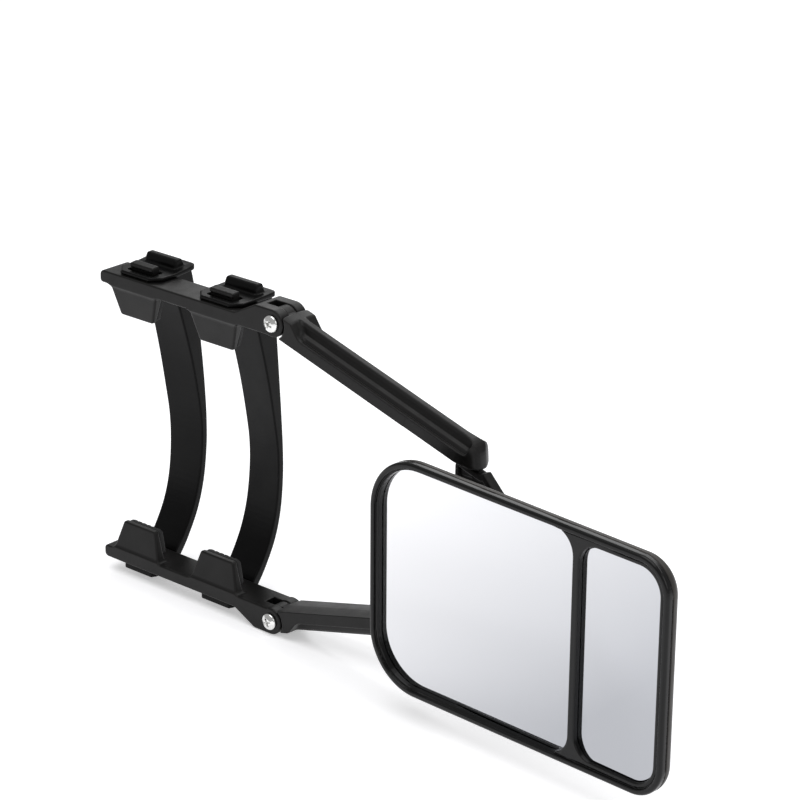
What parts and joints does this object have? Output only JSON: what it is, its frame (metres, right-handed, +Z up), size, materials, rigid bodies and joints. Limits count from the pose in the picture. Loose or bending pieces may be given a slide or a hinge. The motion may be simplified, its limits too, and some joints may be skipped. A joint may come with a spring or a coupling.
{
  "type": "clip-on towing mirror",
  "caption": "Clip-on towing mirror: claw clamp bars with rubber straps, hinged arms and a large flat and wide-angle mirror head on a ball joint.",
  "frame": {"origin": "centre of the clamp: midway between the two clamp bars and between their two claws, on the bars' front plane", "axes": "+X along the clamp bars towards the mirror head, +Y away from the glass towards the straps' bow, +Z up across the clamp"},
  "size_m": [0.5595, 0.1194, 0.2533],
  "materials": {
    "frame_plastic": "satin black, fine grain",
    "head_plastic": "satin black, fine grain",
    "joint_plastic": "semi-gloss black",
    "strap_rubber": "smooth satin black",
    "pad_rubber": "matt black",
    "foam": "closed-cell foam",
    "bright_steel": "bright plated",
    "mirror_glass": "silvered glass"
  },
  "bodies": {
    "lower_clamp": {"lower_clamp_bar": "frame_plastic", "lower_grip_pad_outer": "pad_rubber", "lower_grip_pad_inner": "pad_rubber", "lower_hinge_screw": "bright_steel", "lower_hinge_nut": "bright_steel", "strap_outer": "strap_rubber", "strap_inner": "strap_rubber"},
    "upper_clamp": {"upper_clamp_bar": "frame_plastic", "upper_grip_pad_outer": "pad_rubber", "upper_grip_pad_inner": "pad_rubber", "upper_hinge_screw": "bright_steel", "upper_hinge_nut": "bright_steel"},
    "upper_arm": {"upper_arm": "frame_plastic", "upper_pivot_screw": "bright_steel"},
    "lower_arm": {"lower_arm": "frame_plastic", "lower_pivot_screw": "bright_steel"},
    "yoke": {"head_yoke": "frame_plastic"},
    "stud": {"ball_stud": "bright_steel", "stud_nut": "bright_steel"},
    "liner": {"ball_liner": "joint_plastic"},
    "head": {"rear_housing": "head_plastic", "socket_base": "frame_plastic", "front_bezel": "head_plastic", "main_mirror_glass": "mirror_glass", "main_glass_backing": "foam", "wide_angle_glass": "mirror_glass", "wide_glass_backing": "foam", "socket_cap": "joint_plastic", "cap_screw_1": "bright_steel", "cap_screw_2": "bright_steel", "cap_screw_3": "bright_steel", "housing_screw_1": "bright_steel", "housing_screw_2": "bright_steel", "housing_screw_3": "bright_steel", "housing_screw_4": "bright_steel"}
  },
  "joints": [
    {"name": "clamp_opening", "type": "slide", "parent": "lower_clamp", "child": "upper_clamp", "axis": [0, 0, 1], "range_m": [-0.015, 0.03], "deforming": ["strap_outer", "strap_inner"]},
    {"name": "lower_arm_hinge", "type": "hinge", "parent": "lower_clamp", "child": "lower_arm", "pos_m": [0.0983, 0.0135, -0.1161], "axis": [0, 1, 0], "range_deg": [-5.2, 2.8]},
    {"name": "upper_arm_hinge", "type": "hinge", "parent": "upper_clamp", "child": "upper_arm", "pos_m": [0.0983, 0.0135, 0.1161], "axis": [0, 1, 0], "range_deg": [-2.8, 5.2]},
    {"name": "yoke_pivot", "type": "hinge", "parent": "lower_arm", "child": "yoke", "pos_m": [0.27081, 0.0135, -0.06832], "axis": [0, 1, 0], "range_deg": [-2.8, 5.2]},
    {"name": "head_roll", "type": "hinge", "parent": "yoke", "child": "stud", "pos_m": [0.33, -0.004, -0.0177], "axis": [0, 1, 0], "range_deg": [-10, 10]},
    {"name": "head_yaw", "type": "hinge", "parent": "stud", "child": "liner", "pos_m": [0.33, -0.004, -0.0177], "axis": [0, 0, 1], "range_deg": [-3, 14]},
    {"name": "head_tilt", "type": "hinge", "parent": "liner", "child": "head", "pos_m": [0.33, -0.004, -0.0177], "axis": [1, 0, 0], "range_deg": [-5, 5]}
  ],
  "couplings": [
    {"joint": "lower_arm_hinge", "follows": "clamp_opening", "rad_per_m": -2.8983},
    {"joint": "yoke_pivot", "follows": "clamp_opening", "rad_per_m": 2.8983},
    {"joint": "upper_arm_hinge", "follows": "clamp_opening", "rad_per_m": 2.9229}
  ]
}
